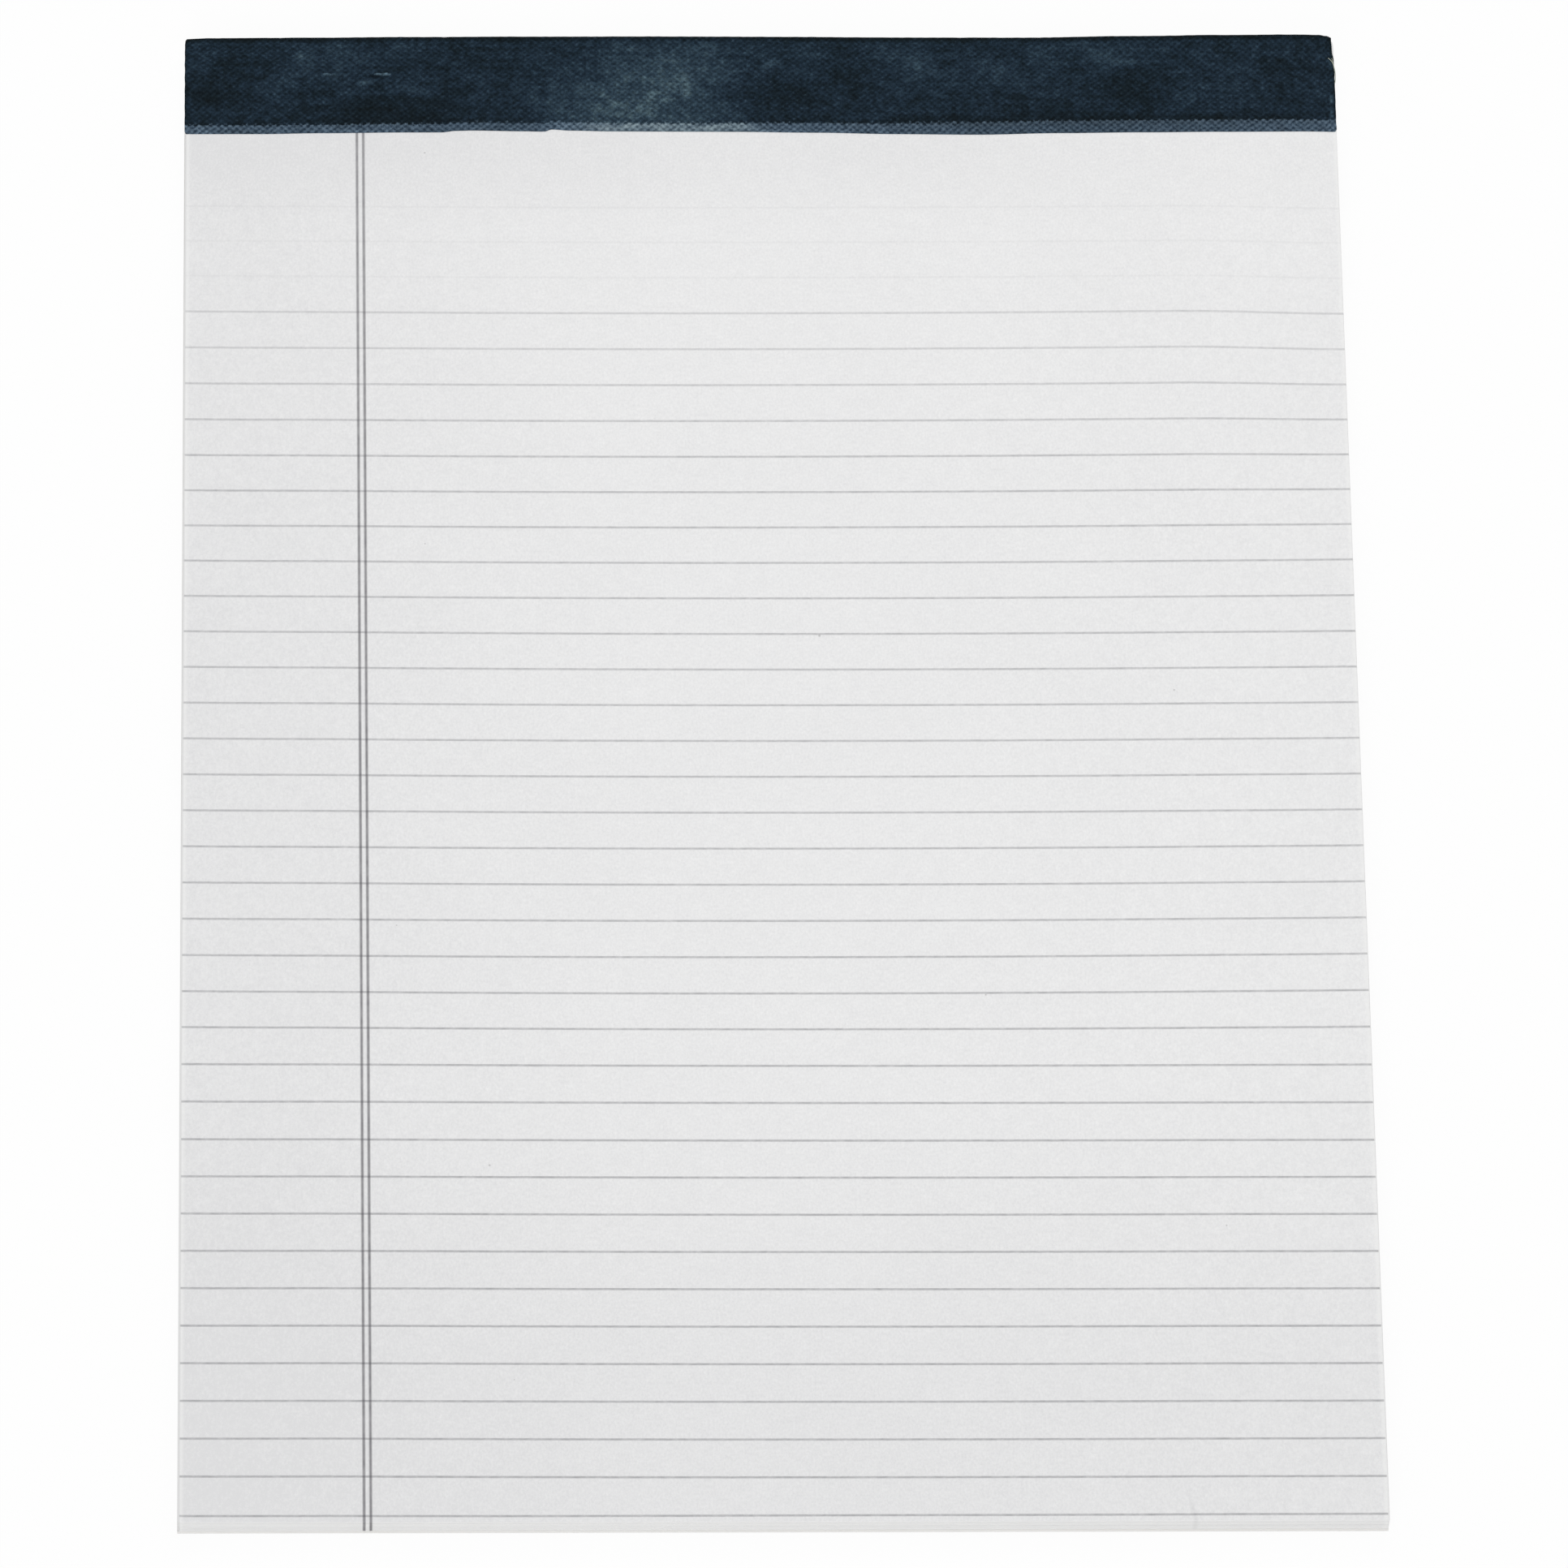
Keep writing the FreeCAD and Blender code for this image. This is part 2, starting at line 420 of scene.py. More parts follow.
def sheetStacker():
    tree = bpy.data.node_groups.new("stack of sheets", "GeometryNodeTree")
    face = tree.interface
    face.new_socket("Leaf", in_out="INPUT", socket_type="NodeSocketGeometry")
    wanted = [
        ("Count", "NodeSocketInt"),
        ("Base", "NodeSocketFloat"),
        ("Pitch", "NodeSocketFloat"),
        ("Jog Across", "NodeSocketFloat"),
        ("Jog Along", "NodeSocketFloat"),
        ("Twist", "NodeSocketFloat"),
        ("Curl", "NodeSocketFloat"),
        ("Ripple", "NodeSocketFloat"),
        ("Seed", "NodeSocketInt"),
        ("Paper", "NodeSocketMaterial"),
    ]
    for name, kind in wanted:
        face.new_socket(name, in_out="INPUT", socket_type=kind)
    face.new_socket("Sheets", in_out="OUTPUT", socket_type="NodeSocketGeometry")
    graph = Graph(tree)
    inlet = graph.node("NodeGroupInput")

    def given(name):
        return graph.out(inlet, name)

    def vector(x, y, z):
        return graph.out(graph.node("ShaderNodeCombineXYZ", {}, {0: x, 1: y, 2: z}))

    def chance(low, high, offset):
        made = graph.node(
            "FunctionNodeRandomValue", {"data_type": "FLOAT"}, {2: low, 3: high, "Seed": given("Seed") + offset}
        )
        return graph.out(made, 1)

    rungs = graph.node(
        "GeometryNodeMeshLine",
        {"mode": "OFFSET"},
        {
            "Count": given("Count"),
            "Start Location": vector(0.0, 0.0, given("Base") + 0.5 * given("Pitch")),
            "Offset": vector(0.0, 0.0, given("Pitch")),
        },
    )
    turn = vector(0.0, 0.0, chance(-given("Twist"), given("Twist"), 3))
    laid = graph.node(
        "GeometryNodeInstanceOnPoints",
        {},
        {"Points": graph.out(rungs), "Instance": given("Leaf"), "Rotation": turn},
    )
    shove = vector(
        chance(-given("Jog Across"), given("Jog Across"), 1),
        chance(-given("Jog Along"), given("Jog Along"), 2),
        0.0,
    )
    jogged = graph.node(
        "GeometryNodeTranslateInstances",
        {},
        {"Instances": graph.out(laid), "Translation": shove, "Local Space": False},
    )
    loose = graph.node("GeometryNodeRealizeInstances", {}, {0: graph.out(jogged)})
    spot = graph.out(graph.node("GeometryNodeInputPosition"))
    x, y, z = graph.split(spot)
    share = (z - given("Base")) / (given("Count") * given("Pitch"))
    free = 1 - graph.smooth(y, headY - stack["freeFrom"] * mm, headY - stack["heldTo"] * mm)
    edge = (x / halfWidth) * (x / halfWidth)
    wave = graph.cloud(vector(x, y, 0.0), 9.0, 1.0) - 0.5
    lift = share * free * (given("Curl") * edge + given("Ripple") * wave)
    waved = graph.node(
        "GeometryNodeSetPosition", {}, {"Geometry": graph.out(loose), "Offset": vector(0.0, 0.0, lift)}
    )
    whole = graph.node("GeometryNodeRealizeInstances", {}, {0: graph.out(waved)})
    painted = graph.node(
        "GeometryNodeSetMaterial", {}, {"Geometry": graph.out(whole), "Material": given("Paper")}
    )
    outlet = graph.node("NodeGroupOutput")
    tree.links.new(painted.outputs[0], outlet.inputs[0])
    return tree


def setInput(modifier, name, value):
    for item in modifier.node_group.interface.items_tree:
        if item.item_type == "SOCKET" and item.in_out == "INPUT" and item.name == name:
            modifier[item.identifier] = value


def bakeNodes(name, source):
    # the modifier's result as a plain mesh on a new object
    graph = bpy.context.evaluated_depsgraph_get()
    mesh = bpy.data.meshes.new_from_object(source.evaluated_get(graph))
    mesh.name = name
    bpy.data.objects.remove(source)
    return addObject(name, mesh)


def makeSheets():
    pitch = (pageZ - sheetLow.z) / stack["count"]
    source = addObject("leaf source", drawLeaf(pitch - stack["airGap"] * mm))
    modifier = source.modifiers.new("stack", "NODES")
    modifier.node_group = sheetStacker()
    setInput(modifier, "Count", stack["count"])
    setInput(modifier, "Base", sheetLow.z)
    setInput(modifier, "Pitch", pitch)
    setInput(modifier, "Jog Across", stack["jogAcross"] * mm)
    setInput(modifier, "Jog Along", stack["jogAlong"] * mm)
    setInput(modifier, "Twist", stack["twist"])
    setInput(modifier, "Curl", stack["curl"] * mm)
    setInput(modifier, "Ripple", stack["ripple"] * mm)
    setInput(modifier, "Seed", stack["seed"])
    setInput(modifier, "Paper", paper)
    made = bakeNodes("sheet_stack", source)
    for vert in made.data.vertices:
        vert.co.y += min(leanAt(*vert.co), 0.0)  # the sheets lean in, but not out of the box
    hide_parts("ruled_sheets")
    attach(made, "root")
    return made


sheets = makeSheets()
print("sheets stacked:", len(sheets.data.polygons), "faces")

# tape
tape = {
    "frontWidth": 20.0,  # mm
    "lipWidth": 1.5,
    "lipRoot": 0.17,
    "lipEdge": 0.12,
    "lipStep": 0.1,
    "endInset": (0.06, 0.36),  # mm that the strip is short of the pad's left and right sides
    "seatDepth": 0.05,  # the tape presses into the top sheet
    "innerRadius": 0.45,  # of the two folds
    "embossLeft": 0.16,
    "embossOther": 0.05,
    "knotsAcross": 0.716,  # cycles per mm
    "knotsAlong": 0.896,
    "wanderFade": 7.0,  # mm from the lower edge over which its wander fades out
    # where the lower edge wanders: mm from the middle, mm further down the page
    "wander": [(-108, 1.12), (-94, 1.08), (-82, 0.87), (-66, 0.68), (-60, 0.65), (-57.2, 0.32), (-54, 0.24),
               (-45, 0.38), (-40.7, 0.44), (-39.4, 0.0), (-36, 0.22), (-28, 0.38), (-5, 0.42), (10, 0.57),
               (25, 0.83), (40, 0.92), (56, 0.56), (71, 0.36), (86, 0.22), (102, 0.12), (108, 0.2)],
    # how pale the pressed lip is along the pad, partly from wear and partly painted sheen
    "lipWearAndSheen": [(-108, 0.7), (-92, 0.5), (-72, 0.62), (-60, 0.35), (-46, 0.3), (-38, 0.75), (-25, 1.0), (-8, 0.95),
               (8, 0.62), (25, 0.42), (45, 0.22), (70, 0.18), (88, 0.35), (108, 0.5)],
    # paler and darker smudges, with painted sheen in the broad paler patch left of the middle and a painted highlight
    # in the spot below the left staple: x from the middle, mm from the head, size across, size along, strength
    "smudgesAndSheen": [(-24, 13.0, 16, 8, 0.21), (-15, 6.5, 11, 6, 0.16), (-27, 17.5, 22, 4, 0.12), (-79, 4.6, 9, 3, 0.08),
                (28, 6.0, 5, 4, 0.12), (46, 8.5, 7, 4, 0.08), (65, 5.0, 6, 3, 0.14), (-74.3, 10.4, 1.5, 0.6, 0.3),
                (-86.3, 4.5, 1.4, 0.9, 0.26), (-89.4, 10.4, 1.6, 1.6, 0.16), (-82.5, 14.2, 1.3, 1.0, 0.15),
                (91, 10, 9, 5, 0.05), (1.5, 6.5, 1.6, 1.2, 0.14), (-103, 12.8, 5, 3, -0.2), (-70, 15.6, 16, 2.4, -0.2),
                (-48, 10, 8, 8, -0.05), (3, 13, 7, 3.5, -0.17), (16, 10, 5, 4, -0.1), (69, 11.8, 7, 3.5, -0.2),
                (95, 8, 9, 7, -0.08), (-98, 6, 6, 4, -0.1), (52, 14, 9, 3, -0.08), (-57, 4, 7, 3, -0.06),
                (35, 15, 8, 3, -0.05), (107.1, 13.5, 0.4, 0.9, 0.4), (107.2, 16.4, 0.4, 0.7, 0.45)],
    "shades": [(0.0, (12, 20, 23)), (0.3, (20, 32, 40)), (0.5, (30, 45, 58)), (0.75, (48, 66, 79)),
               (1.0, (80, 101, 110))],
    # pale colours of the lip, painted sheen in part
    "lipGap": (46, 63, 80),
    "lipKnot": (118, 139, 158),
    "lipWornSheen": (158, 174, 174),
    "rubbedHighlight": (104, 130, 146),
}
tapeFrontY = headY - tape["frontWidth"] * mm
lipReach = (tape["lipWidth"] + 0.5 * tape["lipStep"]) * mm


def toneAndSheenAt(x, down):
    # broad tone of the cloth with the painted sheen of its paler smudges, 0 is its mean; down is mm from the head
    tone = 0.0
    for middleX, middleDown, across, along, strength in tape["smudgesAndSheen"]:
        tone += strength * math.exp(-((x / mm - middleX) / across) ** 2 - ((down - middleDown) / along) ** 2)
    return tone


def tapePath():
    # (y, z, outward y, outward z, thickness, reach along the tape) from the front edge round to the back
    seatZ = sheetHigh.z - tape["seatDepth"] * mm
    radius = tape["innerRadius"] * mm
    bendY = stackHeadY - radius
    lipY = tapeFrontY + tape["lipWidth"] * mm
    points = []
    for share in (0.0, 0.04, 0.35, 0.7, 1.0):
        thick = tape["lipEdge"] + (tape["lipRoot"] - tape["lipEdge"]) * share
        points.append((tapeFrontY + (lipY - tapeFrontY) * share, seatZ, 0, 1, thick * mm))
    y = lipY + tape["lipStep"] * mm
    stapleY = (stapleBoxes[0][0].y + stapleBoxes[0][1].y) / 2
    while y < bendY - 0.3 * mm:
        points.append((y, seatZ, 0, 1, tapeThick))
        y += 0.16 * mm if abs(y - stapleY) < 1.3 * mm else 0.55 * mm  # closer over the staples

    def fold(middleZ, start):
        for i in range(8):
            angle = start + math.pi / 2 * i / 7
            outY, outZ = math.sin(angle), math.cos(angle)
            points.append((bendY + radius * outY, middleZ + radius * outZ, outY, outZ, tapeThick))

    topZ, lowZ = seatZ - radius, tapeThick + radius
    fold(topZ, 0.0)
    for i in range(1, 8):
        points.append((stackHeadY, topZ + (lowZ - topZ) * i / 8, 1, 0, tapeThick))
    fold(lowZ, math.pi / 2)
    for i in range(1, 13):
        points.append((bendY + (tapeLow.y - bendY) * i / 12, tapeThick, 0, -1, tapeThick))
    path, reach, last = [], 0.0, None
    for y, z, outY, outZ, thick in points:
        skin = (y + outY * thick, z + outZ * thick)
        reach += math.dist(last, skin) if last else 0.0
        path.append((y, z, outY, outZ, thick, reach))
        last = skin
    return path


def embossAt(x, y):
    # how far a staple's crown pushes the tape up: a ridge, highest near its two ends
    rise = 0.0
    for (low, high), name in zip(stapleBoxes, stapleNames):
        middleX, middleY = (low.x + high.x) / 2, (low.y + high.y) / 2
        half = (high.x - low.x) / 2
        along = abs(x - middleX) - half
        across = abs(y - middleY)
        if along > 1.5 * mm or across > 1.6 * mm:
            continue
        shape = (1 - smoothstep(along, -0.2 * mm, 0.9 * mm)) * (1 - smoothstep(across, 0.25 * mm, 1.1 * mm))
        ends = smoothstep(along, -5.5 * mm, -2.0 * mm)
        size = tape["embossLeft"] if name == "staple_left" else tape["embossOther"]
        rise = max(rise, size * mm * shape * (0.45 + 0.55 * ends))
    return rise


def rubAndShadeAt(x, y):
    # the left staple shows: cloth rubbed pale with a painted highlight over its two bends, and painted shade in the
    # crease just below
    (low, high) = stapleBoxes[0]
    along = abs(x + 0.35 * mm - (low.x + high.x) / 2) - (high.x - low.x) / 2
    across = y - (low.y + high.y) / 2 + 0.2 * mm
    reach = smoothstep(along, -4.0 * mm, -2.4 * mm) * (1 - smoothstep(along, -0.7 * mm, 0.6 * mm))
    ridge = math.exp(-(across / (0.34 * mm)) ** 2)
    creaseShade = math.exp(-((across + 0.5 * mm) / (0.35 * mm)) ** 2)
    side = 1.0 if x > (low.x + high.x) / 2 else 0.6
    inner = smoothstep(along, -4.6 * mm, -3.6 * mm) * (1 - smoothstep(along, -2.2 * mm, -1.0 * mm))
    return reach * ridge * side * (0.8 + 0.3 * smoothstep(along, -2.2 * mm, -0.8 * mm)), inner * creaseShade * side


def liftAt(x, y, z, outY, outZ):
    # staples and slow swells raise the front, small dents roughen the head face
    if outZ > 0.99:
        swell = noise.noise(Vector((x * 55, y * 90, 3))) * 0.03 * mm - 0.01 * mm
        return embossAt(x, y) + swell * smoothstep(y, tapeFrontY + 1.7 * mm, tapeFrontY + 4 * mm)
    if outY > 0.3 and outZ > -0.5:
        return noise.noise(Vector((x * 900, 7, z * 90))) * 0.04 * mm - 0.04 * mm
    return 0.0


def insetAt(x, y, outY, outZ, thick, reach):
    # how far the strip's end stops short of the pad's side
    end = 1 if x > 0 else 0
    inset = (tape["endInset"][end] + 0.10 * noise.noise(Vector((0, reach * 700, 1 + end)))) * mm
    inset += 0.25 * mm * (1 - smoothstep(reach, 0.0, 0.5 * mm))
    if outZ > -0.5 and x < 0:
        inset += 0.4 * mm * smoothstep(y + outY * thick, headY - 0.9 * mm, headY)
    elif outZ > -0.5:
        inset += 0.42 * mm * smoothstep(y, headY - 7 * mm, headY - 1.5 * mm)
    return max(inset, 0.0) * smoothstep(abs(x), halfWidth - 3 * mm, halfWidth)


def clothToneAndPaintedLight(x, y, reach, front, lipWearAndSheen, lipSpread):
    tone = toneAndSheenAt(x, (headY - y) / mm) if front else 0.0
    # painted shade over the fold round the head edge, where the cloth turns away from the light
    tone -= 0.34 * smoothstep(reach, 18.5 * mm, 19.7 * mm) * (1 - smoothstep(reach, 24 * mm, 27 * mm))
    if front and reach > lipReach:
        # painted shade in the groove just above the lip
        grooveShade = 1 - smoothstep(reach - lipSpread, lipReach, lipReach + 2.4 * mm)
        tone -= grooveShade * 0.20 * (1.15 - lipWearAndSheen)
    # darker towards the strip's two ends
    return tone - 0.16 * smoothstep(abs(x), halfWidth - 0.7 * mm, halfWidth - 0.2 * mm)


def makeTape():
    path = tapePath()
    total = path[-1][5]
    xs = stations(-halfWidth, halfWidth, cornerX, 420, 6)
    shell = bmesh.new()
    cloth = shell.loops.layers.uv.new("cloth")
    layers = {name: shell.verts.layers.float.new(name) for name in ("tone", "lip", "pale", "rub", "fold")}
    skins = ([], [])
    clothAt = {}
    for x in xs:
        wander = alongPad(tape["wander"], x) * mm
        lipWearAndSheen = alongPad(tape["lipWearAndSheen"], x)
        lipSpread = 0.75 * mm * smoothstep(x, -15 * mm, 55 * mm)
        for skin in skins:
            skin.append([])
        for y, z, outY, outZ, thick, reach in path:
            front = outZ > 0.5
            fade = 1 - smoothstep(y, tapeFrontY, tapeFrontY + tape["wanderFade"] * mm)
            slide = -wander * fade if front else 0.0
            lift = liftAt(x, y, z, outY, outZ)
            inset = insetAt(x, y, outY, outZ, thick, reach)
            # the staple's paleness with its painted highlight, and the painted shade of the crease below it
            rub, creaseShade = rubAndShadeAt(x, y) if outZ > 0.99 else (0.0, 0.0)
            values = {
                "tone": clothToneAndPaintedLight(x, y, reach, front, lipWearAndSheen, lipSpread),
                "lip": 1 - smoothstep(reach - lipSpread, lipReach - 0.3 * mm, lipReach + 0.4 * mm),
                "pale": lipWearAndSheen,
                "rub": rub,
                "fold": creaseShade,
            }
            for skin, depth in zip(skins, (thick, 0.0)):
                py = y + slide + outY * (depth + (lift if outY > 0.3 else 0.0))
                pz = z + outZ * depth + (lift if front else 0.0)
                px, py = rounded(x - math.copysign(inset, x), py, cornerX, cornerY, cornerRadius - (thick - depth))
                vert = shell.verts.new((px, py + leanAt(px, py, pz), pz))
                for name, value in values.items():
                    vert[layers[name]] = value
                clothAt[vert] = (x / mm, (reach + slide) / mm)
                skin[-1].append(vert)
    outer, inner = skins
    lastX, lastS = len(xs) - 1, len(path) - 1
    faces = []
    for i in range(lastX):
        for j in range(lastS):
            faces.append((outer[i][j], outer[i + 1][j], outer[i + 1][j + 1], outer[i][j + 1]))
            faces.append((inner[i][j], inner[i][j + 1], inner[i + 1][j + 1], inner[i + 1][j]))
        faces.append((inner[i][0], inner[i + 1][0], outer[i + 1][0], outer[i][0]))
        faces.append((inner[i][lastS], outer[i][lastS], outer[i + 1][lastS], inner[i + 1][lastS]))
    for j in range(lastS):
        faces.append((inner[0][j], outer[0][j], outer[0][j + 1], inner[0][j + 1]))
        faces.append((inner[lastX][j], inner[lastX][j + 1], outer[lastX][j + 1], outer[lastX][j]))
    for corners in faces:
        face = shell.faces.new(corners)
        face.smooth = True
        for loop in face.loops:
            loop[cloth].uv = clothAt[loop.vert]
    bmesh.ops.recalc_face_normals(shell, faces=shell.faces)
    mesh = bpy.data.meshes.new("binding tape")
    shell.to_mesh(mesh)
    shell.free()
    made = addObject("tape_wrap", mesh)
    mesh.materials.append(makeCloth())
    mesh.set_sharp_from_angle(angle=math.radians(50))
    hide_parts("binding_tape")
    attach(made, "root")
    print("tape strip length, mm:", round(total / mm, 2))
    return made


def makeCloth():
    material, graph, shader = newMaterial("woven tape", 0.72)
    shader.inputs["Specular IOR Level"].default_value = 0.05
    at = graph.out(graph.node("ShaderNodeUVMap", {"uv_map": "cloth"}), "UV")

    def painted(name):
        return graph.out(graph.node("ShaderNodeAttribute", {"attribute_name": name}), "Fac")

    across, along = graph.split(at)[:2]
    # twill: two crossing sets of ridges, the one that climbs to the right is stronger
    wobble = 0.9 * (graph.cloud(at, 0.25, 3.0) - 0.5)
    climb = (across * tape["knotsAcross"] - along * tape["knotsAlong"] + wobble) * (2 * math.pi)
    fall = (across * tape["knotsAcross"] + along * tape["knotsAlong"] - wobble) * (2 * math.pi)
    weave = 0.54 * climb.sine() + 0.46 * fall.sine()
    fray = graph.cloud(at, 1.4, 4.0, 0.8)
    knots = graph.smooth(0.52 * weave + 5.0 * (fray - 0.5), -1.05, 1.45)
    mottle = graph.cloud(graph.place(at, scale=(0.8, 1.0, 1)), 0.20, 5.0, 0.68)
    fine = graph.cloud(at, 0.6, 3.0, 0.7)
    threads = graph.cloud(graph.place(at, scale=(0.10, 1.6, 1)), 0.8, 2.0, 0.6)
    level = 0.46 + 1.2 * painted("tone") + 0.68 * (mottle - 0.5) + 0.85 * (fine - 0.5) + 0.35 * (threads - 0.5)
    ramp = graph.node(
        "ShaderNodeValToRGB", {"stops": [(place, ink(*colour)) for place, colour in tape["shades"]]}, {"Fac": level}
    )
    base = graph.scaled(graph.out(ramp), 0.48 + 0.95 * knots)
    # the pressed lip is pale, partly rubbed and partly a painted sheen, most of all in the middle
    pale = painted("pale")
    lip = graph.smooth(painted("lip") + 0.7 * (knots - 0.5), 0.2, 0.75)
    patchy = graph.smooth(graph.cloud(graph.place(at, scale=(0.25, 0.6, 1)), 1.0, 3.0, 0.6), 0.35, 0.65)
    strands = graph.smooth(0.6 * weave + 4.0 * (fray - 0.5), -0.9, 1.2)
    lipColour = graph.blend(strands, ink(*tape["lipGap"]), ink(*tape["lipKnot"]))
    wornAndSheen = graph.smooth(pale, 0.7, 1.0) * (0.25 + 0.35 * patchy) * (0.3 + 0.7 * knots)
    lipColour = graph.blend(wornAndSheen, lipColour, ink(*tape["lipWornSheen"]))
    base = graph.blend(lip * (0.30 + 0.70 * pale * (0.35 + 0.65 * patchy)), base, lipColour)
    # the staple's two bends, rubbed pale with a painted highlight, and the painted shade of the crease below them
    rub = graph.smooth(painted("rub") + 0.5 * (fray - 0.5), 0.30, 0.75)
    base = graph.blend(rub * (0.15 + 0.6 * knots), base, ink(*tape["rubbedHighlight"]))
    # painted shade in the crease below the staple
    base = graph.scaled(base, 1 - 0.6 * painted("fold"))
    plug(graph, shader, "Base Color", base)
    plug(graph, shader, "Roughness", 0.82 - 0.2 * knots)
    bumpInto(graph, shader, 0.8 * knots + 0.4 * fine, 0.5, 0.00005)
    return material


wrap = makeTape()
print("tape folded:", len(wrap.data.polygons), "faces")

# loose thread at the tape's right end
threadPiece = {
    # x from the middle, mm from the head, height, all in mm
    "strands": [
        [(106.5, 4.7, 5.45), (107.0, 5.2, 5.56), (107.4, 6.0, 5.57), (107.7, 7.4, 5.52), (107.75, 9.0, 5.48),
         (107.6, 10.0, 5.44)],
        [(107.2, 4.8, 5.45), (107.3, 5.5, 5.55), (107.55, 6.8, 5.53), (107.7, 8.0, 5.50)],
    ],
    "radius": 0.07,
    "shade": (118, 124, 112),
    "colour": (188, 194, 178),
}


def makeThread():
    curve = bpy.data.curves.new("loose thread", "CURVE")
    curve.dimensions = "3D"
    curve.bevel_depth = threadPiece["radius"] * mm
    curve.bevel_resolution = 2
    curve.use_fill_caps = True
    for points in threadPiece["strands"]:
        spline = curve.splines.new("NURBS")
        spline.points.add(len(points) - 1)
        for point, (x, down, z) in zip(spline.points, points):
            point.co = (x * mm, headY - down * mm, z * mm, 1)
        spline.order_u = 3
        spline.use_endpoint_u = True
    source = addObject("thread source", curve)
    made = bakeNodes("loose_thread", source)
    material, graph, shader = newMaterial("bleached thread", 0.8)
    spot = graph.out(graph.node("ShaderNodeTexCoord"), "Object")
    strands = graph.cloud(graph.place(spot, scale=(1, 0.2, 1)), 9000.0, 2.0)
    plug(graph, shader, "Base Color", graph.blend(strands, ink(*threadPiece["shade"]), ink(*threadPiece["colour"])))
    made.data.materials.clear()
    made.data.materials.append(material)
    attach(made, "root")
    return made


makeThread()


# board and staples keep their frame shapes
board = {
    "back": (186, 183, 175),
    "backShade": (166, 163, 155),
    "lining": (236, 235, 233),  # cut edges and the face under the sheets
    "dark": (104, 100, 94),
    "pale": (222, 219, 210),
}


def makeChipboard():
    material, graph, shader = newMaterial("lined chipboard", 0.88)
    shader.inputs["Specular IOR Level"].default_value = 0.2
    spot = graph.out(graph.node("ShaderNodeTexCoord"), "Object")
    pulp = graph.cloud(spot, 160.0, 5.0, 0.65)
    fleck = graph.cloud(graph.place(spot, turn=(0, 0, 0.5), scale=(1, 0.35, 1)), 950.0, 2.0, 0.6)
    dark = graph.smooth(fleck, 0.64, 0.72)
    pale = graph.smooth(fleck, 0.36, 0.28)
    colour = graph.blend(pulp, ink(*board["backShade"]), ink(*board["back"]))
    colour = graph.blend(dark * 0.55, colour, ink(*board["dark"]))
    colour = graph.blend(pale * 0.45, colour, ink(*board["pale"]))
    normal = graph.split(graph.out(graph.node("ShaderNodeNewGeometry"), "True Normal"))
    lined = graph.smooth(normal[2], -0.7, -0.3) * (0.82 + 0.18 * pulp)
    colour = graph.blend(lined, colour, ink(*board["lining"]))
    plug(graph, shader, "Base Color", colour)
    bumpInto(graph, shader, 0.6 * pulp + 0.4 * fleck, 0.35, 0.00008)
    return material


staple = {
    "shade": (176, 176, 172),
    "colour": (206, 206, 202),
}


def makeWire():
    material, graph, shader = newMaterial("staple wire", 0.34)
    shader.inputs["Metallic"].default_value = 1.0
    spot = graph.out(graph.node("ShaderNodeTexCoord"), "Object")
    drawn = graph.cloud(graph.place(spot, scale=(0.05, 1, 1)), 4000.0, 2.0)
    plug(graph, shader, "Base Color", graph.blend(drawn, ink(*staple["shade"]), ink(*staple["colour"])))
    plug(graph, shader, "Roughness", 0.28 + 0.16 * drawn)
    bumpInto(graph, shader, drawn, 0.2, 0.00002)
    return material


def dress(node, material):
    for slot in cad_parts[node].material_slots:
        slot.material = material


dress("backing_board", makeChipboard())
wire = makeWire()
for name in stapleNames:
    dress(name, wire)
print("board and staples dressed")

# floor, light and camera
studio = {
    "skyLight": 0.62,
    "lampSize": 1.3,
    "keyPower": 19.5,
    "keyAt": (-0.5, -2.0, 1.33),
    "fillPower": 7.2,
    "fillAt": (0.1, 0.9, 1.3),
    "floorHalf": 3.0,
    "floorZ": -0.0002,
    "floorLift": 0.94,  # how much of the floor's look is plain white
    "lens": 289.79,
    "cameraAt": (-0.081409, -0.958824, 2.100929),
    "cameraTurn": (0.427321, -0.032966, -0.015026),
}


def seenRays(graph):
    # 1 for what the camera sees, straight or by a reflection; 0 for light that falls on the pad
    path = graph.node("ShaderNodeLightPath")
    seen = graph.out(path, "Is Camera Ray") + graph.out(path, "Is Glossy Ray") + graph.out(path, "Is Transmission Ray")
    return seen.maths("MINIMUM", 1.0)


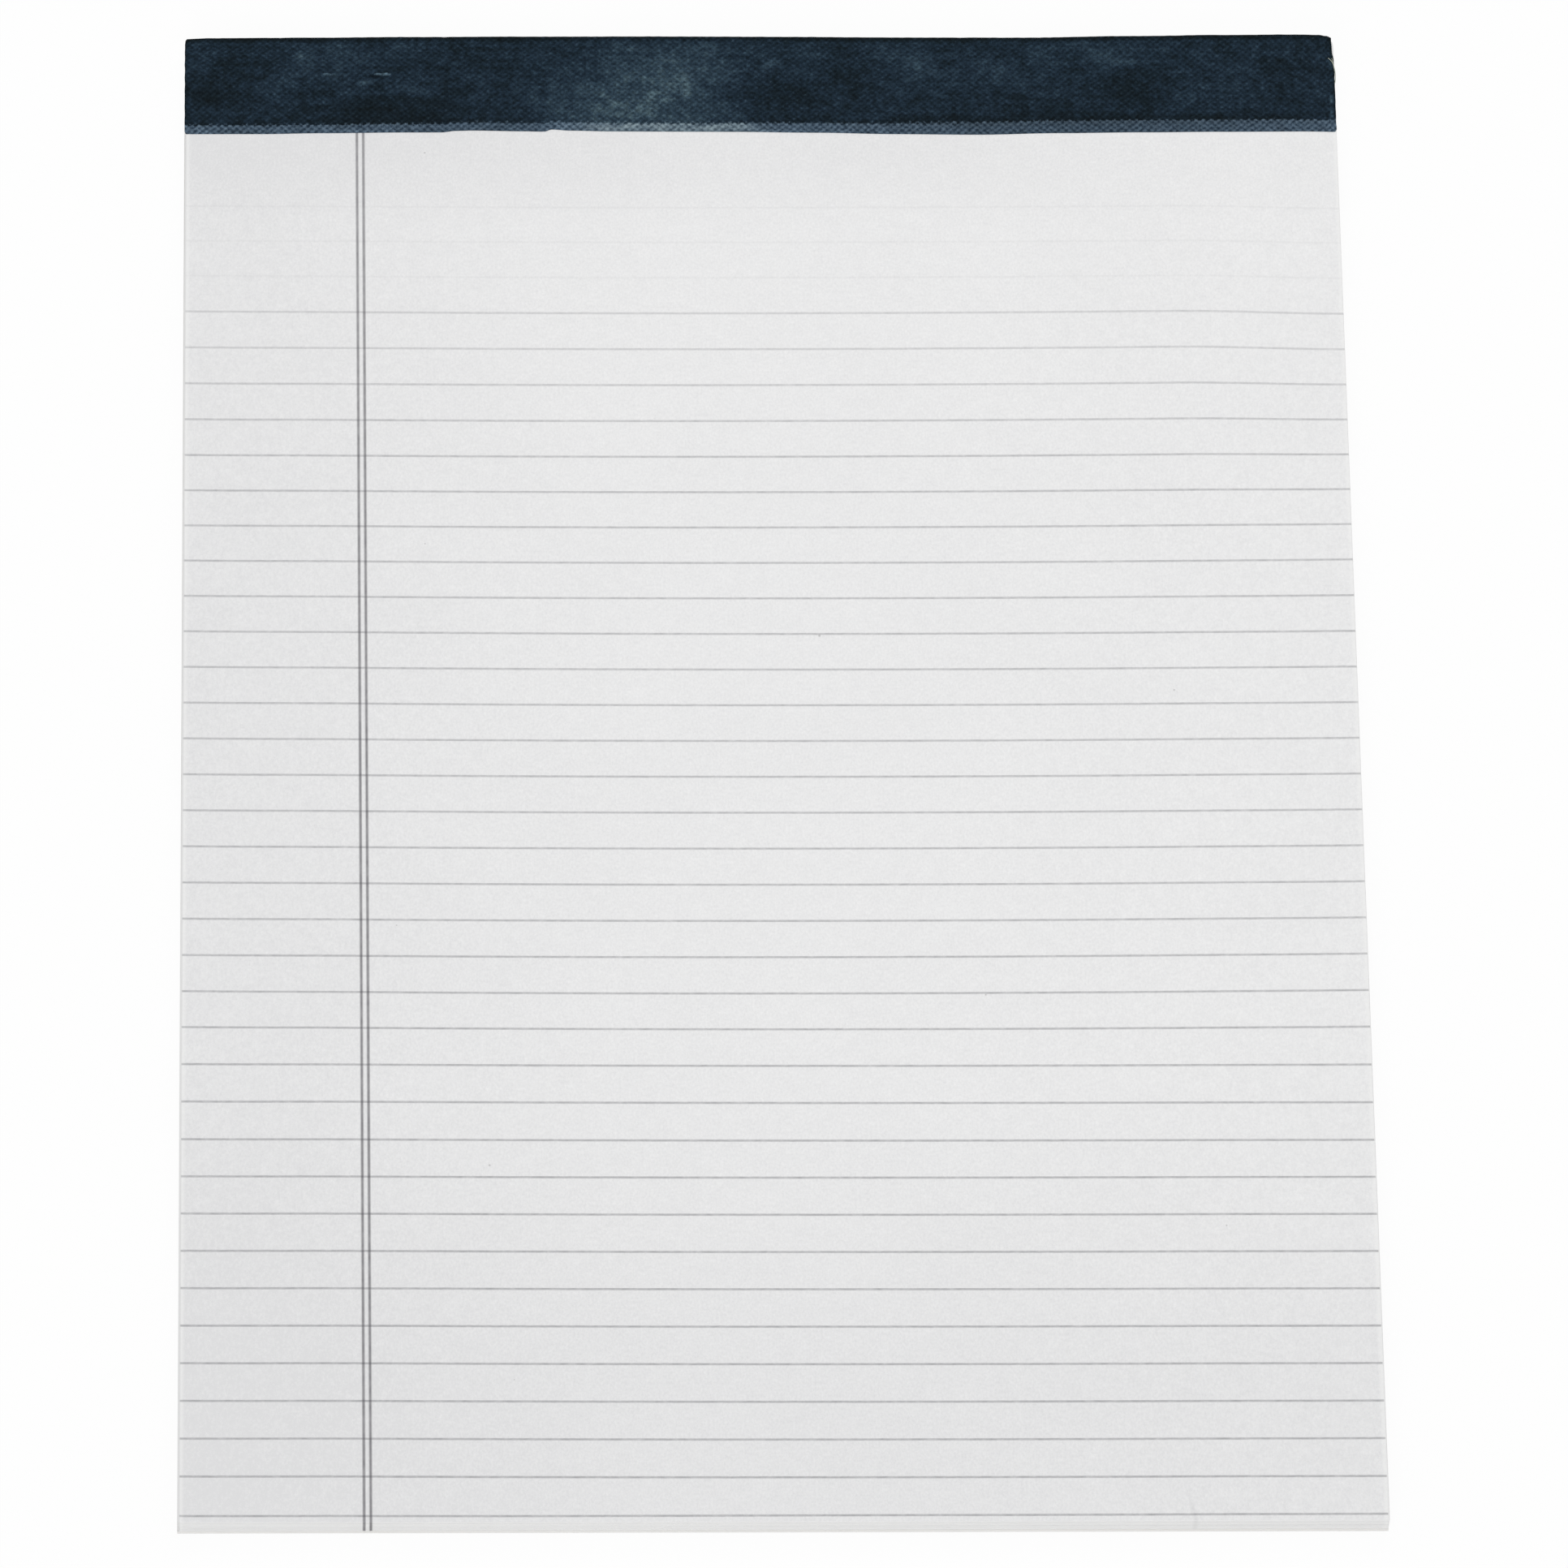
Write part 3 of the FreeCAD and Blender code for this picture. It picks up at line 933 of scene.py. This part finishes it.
def makeFloor():
    half, z = studio["floorHalf"], studio["floorZ"]
    mesh = bpy.data.meshes.new("floor")
    mesh.from_pydata([(-half, -half, z), (half, -half, z), (half, half, z), (-half, half, z)], [], [(0, 1, 2, 3)])
    floor = addObject("floor", mesh)
    material = bpy.data.materials.new("white floor")
    material.use_nodes = True
    graph = Graph(material.node_tree)
    material.node_tree.nodes.clear()
    matte = graph.node("ShaderNodeBsdfDiffuse", {}, {"Color": (0.86, 0.86, 0.86, 1)})
    glow = graph.node("ShaderNodeEmission", {}, {"Color": (1, 1, 1, 1), "Strength": 1.0})
    mixed = graph.node(
        "ShaderNodeMixShader",
        {},
        {0: seenRays(graph) * studio["floorLift"], 1: graph.out(matte), 2: graph.out(glow)},
    )
    outlet = graph.node("ShaderNodeOutputMaterial")
    graph.tree.links.new(mixed.outputs[0], outlet.inputs["Surface"])
    mesh.materials.append(material)


def makeLamp(name, power, at):
    lamp = bpy.data.lights.new(name, "AREA")
    lamp.shape = "DISK"
    lamp.size = studio["lampSize"]
    lamp.energy = power
    made = addObject(name, lamp)
    made.location = at
    made.rotation_euler = (-Vector(at)).to_track_quat("-Z", "Y").to_euler()


def makeSky():
    world = bpy.data.worlds.new("studio")
    bpy.context.scene.world = world
    world.use_nodes = True
    graph = Graph(world.node_tree)
    world.node_tree.nodes.clear()
    strength = studio["skyLight"] + (1 - studio["skyLight"]) * seenRays(graph)
    sky = graph.node("ShaderNodeBackground", {}, {"Color": (1, 1, 1, 1), "Strength": strength})
    outlet = graph.node("ShaderNodeOutputWorld")
    graph.tree.links.new(sky.outputs[0], outlet.inputs["Surface"])


def makeCamera():
    data = bpy.data.cameras.new("camera")
    data.sensor_width = 36
    data.lens = studio["lens"]
    data.clip_start = 0.05
    data.clip_end = 50
    camera = addObject("camera", data)
    camera.location = studio["cameraAt"]
    camera.rotation_euler = studio["cameraTurn"]
    bpy.context.scene.camera = camera


makeFloor()
makeSky()
makeLamp("key", studio["keyPower"], studio["keyAt"])
makeLamp("fill", studio["fillPower"], studio["fillAt"])
makeCamera()
bpy.context.scene.view_settings.view_transform = "Standard"
print("studio ready")
